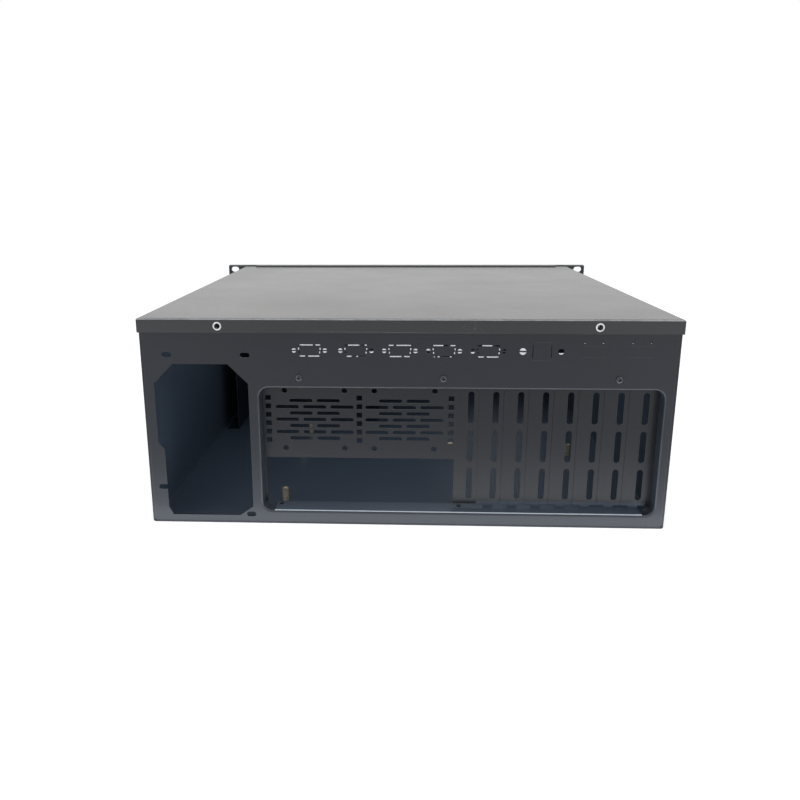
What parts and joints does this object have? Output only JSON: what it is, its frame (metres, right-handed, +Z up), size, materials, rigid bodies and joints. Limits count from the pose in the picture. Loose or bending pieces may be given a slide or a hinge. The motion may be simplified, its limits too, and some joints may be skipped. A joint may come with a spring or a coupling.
{
  "type": "empty rackmount server case",
  "caption": "Empty black steel rackmount case with a sliding lid, recessed port panel, vented slot covers, drive bays, front controls and rack ears with handles.",
  "frame": {"origin": "underside of the case's floor, at the middle of its width and of its depth between the front panel's back face and the rear wall", "axes": "+Z up, -Y out of the front panel, +Y out of the rear wall, +X towards the side that holds the power supply"},
  "size_m": [0.4826, 0.4915, 0.1776],
  "materials": {
    "black_coat": "fine matte powder coat",
    "black_plastic": "fine grain",
    "zinc_steel": "zinc plated",
    "black_screw": "black zinc",
    "brass": "turned",
    "clear_light": "clear lens",
    "socket_plastic": "moulded"
  },
  "bodies": {
    "case": {"chassis_body": "black_coat", "rear_wall": "black_coat", "io_panel": "black_coat", "slot_cover_1": "black_coat", "slot_cover_2": "black_coat", "slot_cover_3": "black_coat", "slot_cover_4": "black_coat", "slot_cover_5": "black_coat", "slot_cover_6": "black_coat", "slot_cover_7": "black_coat", "tongue_bar": "black_coat", "shelf_rivets": "black_coat", "io_panel_screws": "black_screw", "slot_cover_screws": "black_screw", "lid_rivet_nuts": "zinc_steel", "front_panel": "black_coat", "front_rail": "black_coat", "panel_screws": "black_screw", "bay_cover_1": "black_plastic", "bay_cover_2": "black_plastic", "bay_cover_3": "black_plastic", "drive_cage": "black_coat", "cage_screws": "black_screw", "control_bracket": "black_coat", "power_switch": "socket_plastic", "reset_switch": "socket_plastic", "led_lights": "clear_light", "usb_sockets": "zinc_steel", "usb_tongues": "socket_plastic", "handle_left": "black_coat", "handle_right": "black_coat", "handle_screws": "black_screw", "board_posts": "brass", "card_beam": "black_coat"},
    "lid": {"top_lid": "black_coat"},
    "power_button": {"power_button": "black_plastic"},
    "reset_button": {"reset_button": "black_plastic"}
  },
  "joints": [
    {"name": "lid_slide", "type": "slide", "parent": "case", "child": "lid", "axis": [0, 1, 0], "range_m": [0, 0.46]},
    {"name": "power_press", "type": "slide", "parent": "case", "child": "power_button", "axis": [0, 1, 0], "range_m": [0, 0.0025], "stiffness_N_per_m": 600, "springref_m": -0.0005},
    {"name": "reset_press", "type": "slide", "parent": "case", "child": "reset_button", "axis": [0, 1, 0], "range_m": [0, 0.0015], "stiffness_N_per_m": 800, "springref_m": -0.0005}
  ]
}
